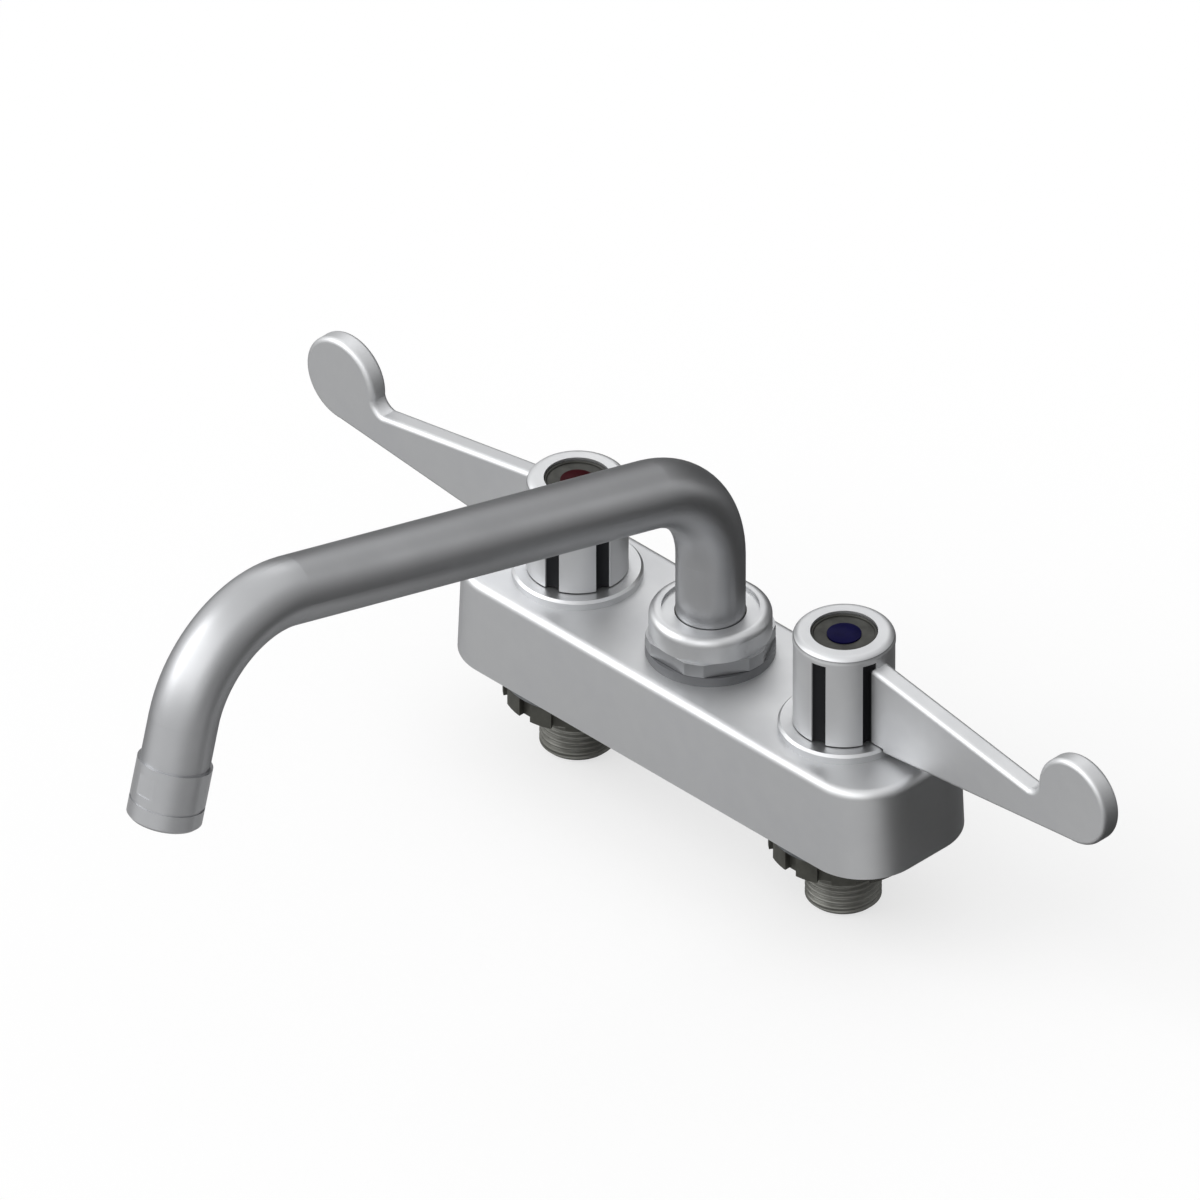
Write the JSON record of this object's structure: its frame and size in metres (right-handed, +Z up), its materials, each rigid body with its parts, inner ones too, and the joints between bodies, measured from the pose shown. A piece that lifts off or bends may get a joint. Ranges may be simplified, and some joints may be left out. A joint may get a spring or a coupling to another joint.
{
  "type": "deck-mounted centreset faucet",
  "caption": "Deck-mounted sink faucet: a block body, a swing spout with an aerator between two wrist-blade handles, and threaded inlet shanks with washers and locknuts.",
  "frame": {"origin": "centre of the body's underside, which sits on the deck", "axes": "+X to the cold handle, -Y to the user and the spout's outlet at rest, +Z up"},
  "size_m": [0.3048, 0.2414, 0.1658],
  "materials": {
    "plated_casting": "cast brass, polished and chrome plated",
    "plated_turning": "turned brass, chrome plated",
    "plated_tube": "drawn brass tube, polished and chrome plated",
    "raw_brass": "rough brass, dull and dark",
    "turned_brass": "turned, unplated",
    "zinc_steel": "zinc plated",
    "black_rubber": "moulded, matt",
    "white_ceramic": "lapped flat",
    "nylon": "punched sheet",
    "acetal": "moulded",
    "red_button": "moulded, dark red",
    "blue_button": "moulded, dark blue"
  },
  "bodies": {
    "root": {"body": "plated_casting", "hot_shank": "raw_brass", "cold_shank": "raw_brass", "hot_rubber_washer": "black_rubber", "cold_rubber_washer": "black_rubber", "hot_steel_washer": "zinc_steel", "cold_steel_washer": "zinc_steel", "hot_locknut": "raw_brass", "cold_locknut": "raw_brass", "hot_cartridge_shell": "turned_brass", "cold_cartridge_shell": "turned_brass", "hot_seat_seal": "black_rubber", "cold_seat_seal": "black_rubber", "hot_fixed_disc": "white_ceramic", "cold_fixed_disc": "white_ceramic", "hot_bonnet_ring": "plated_turning", "cold_bonnet_ring": "plated_turning", "spout_socket": "plated_turning", "swivel_nut": "plated_turning", "lower_swivel_washer": "nylon", "upper_swivel_washer": "nylon"},
    "spout": {"spout_tube": "plated_tube", "spout_collar": "turned_brass", "spout_sealing_rings": "black_rubber", "outlet_nipple": "turned_brass", "aerator_housing": "plated_turning", "aerator_washer": "black_rubber", "aerator_insert": "acetal", "aerator_screen": "zinc_steel"},
    "hot_lever": {"hot_handle": "plated_casting", "hot_stem": "turned_brass", "hot_moving_disc": "white_ceramic", "hot_stem_ring": "black_rubber", "hot_handle_screw": "zinc_steel", "hot_trim_ring": "plated_turning", "hot_index_button": "red_button"},
    "cold_lever": {"cold_handle": "plated_casting", "cold_stem": "turned_brass", "cold_moving_disc": "white_ceramic", "cold_stem_ring": "black_rubber", "cold_handle_screw": "zinc_steel", "cold_trim_ring": "plated_turning", "cold_index_button": "blue_button"}
  },
  "joints": [
    {"name": "spout_swivel", "type": "hinge", "parent": "root", "child": "spout", "pos_m": [0, 0, 0.036], "axis": [0, 0, 1], "continuous": true},
    {"name": "hot_turn", "type": "hinge", "parent": "root", "child": "hot_lever", "pos_m": [-0.0508, 0, 0.03], "axis": [0, 0, 1], "range_deg": [0, 90]},
    {"name": "cold_turn", "type": "hinge", "parent": "root", "child": "cold_lever", "pos_m": [0.0508, 0, 0.03], "axis": [0, 0, 1], "range_deg": [-90, 0]}
  ]
}
